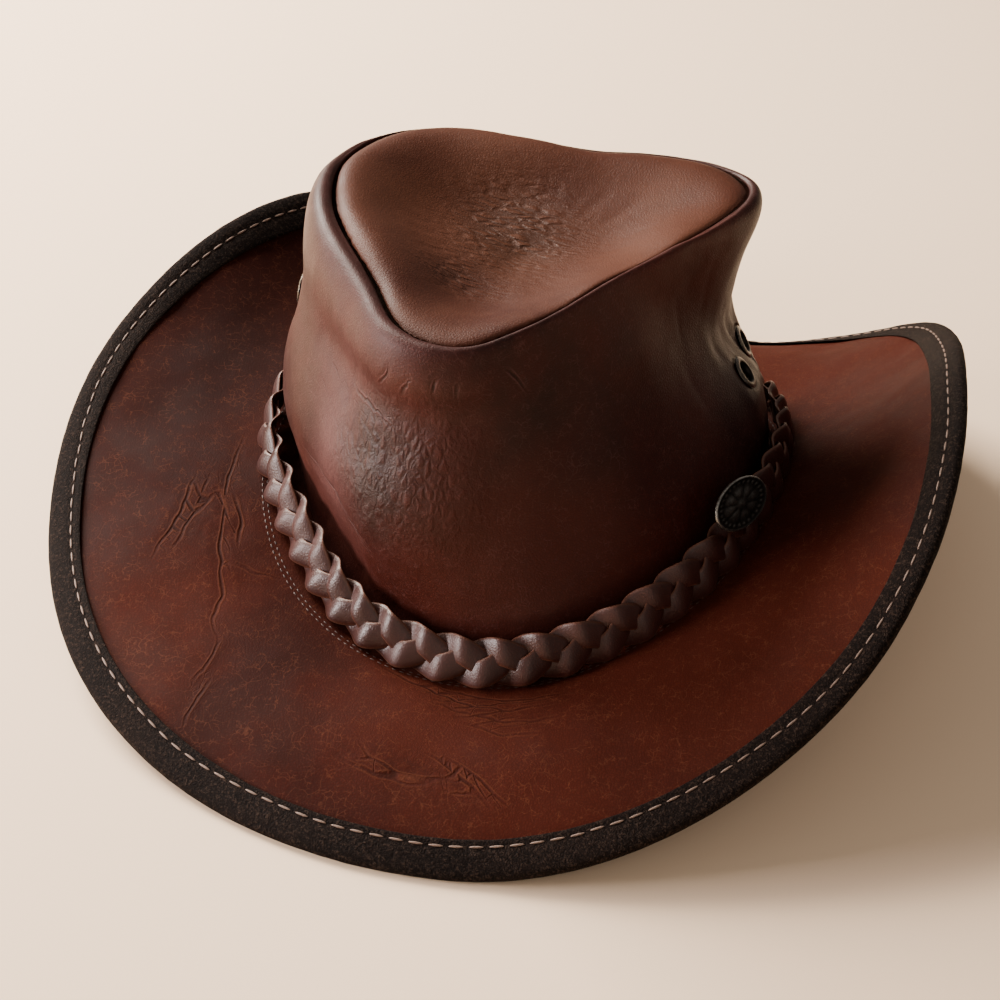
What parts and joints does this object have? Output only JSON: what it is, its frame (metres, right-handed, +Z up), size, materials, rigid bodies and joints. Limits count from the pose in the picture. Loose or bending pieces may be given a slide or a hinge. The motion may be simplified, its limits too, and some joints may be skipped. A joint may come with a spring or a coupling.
{
  "type": "leather bush hat",
  "caption": "Leather bush hat with a pinched, dished crown, a wide brim turned up at the sides, bound edge, plaited band, oval medallion and vent eyelets.",
  "frame": {"origin": "middle of the footprint, on the surface that the hat rests on", "axes": "+Z up, -Y towards the front of the hat, +X towards the wearer's left"},
  "size_m": [0.3468, 0.3816, 0.1508],
  "materials": {
    "brim_leather": "waxed pull-up leather, satin",
    "crown_leather": "waxed pull-up leather, satin",
    "binding_leather": "dark grained leather, dull",
    "band_leather": "plaited leather, satin",
    "medallion_metal": "oxidised, bright rim",
    "eyelet_metal": "darkened, worn"
  },
  "bodies": {
    "root": {"brim": "brim_leather", "brim_binding": "binding_leather", "crown_wall": "crown_leather", "crown_tip": "crown_leather", "band_strand_1": "band_leather", "band_strand_2": "band_leather", "band_strand_3": "band_leather", "medallion": "medallion_metal", "eyelet_left_front": "eyelet_metal", "eyelet_left_back": "eyelet_metal", "eyelet_right_front": "eyelet_metal", "eyelet_right_back": "eyelet_metal"}
  },
  "joints": []
}
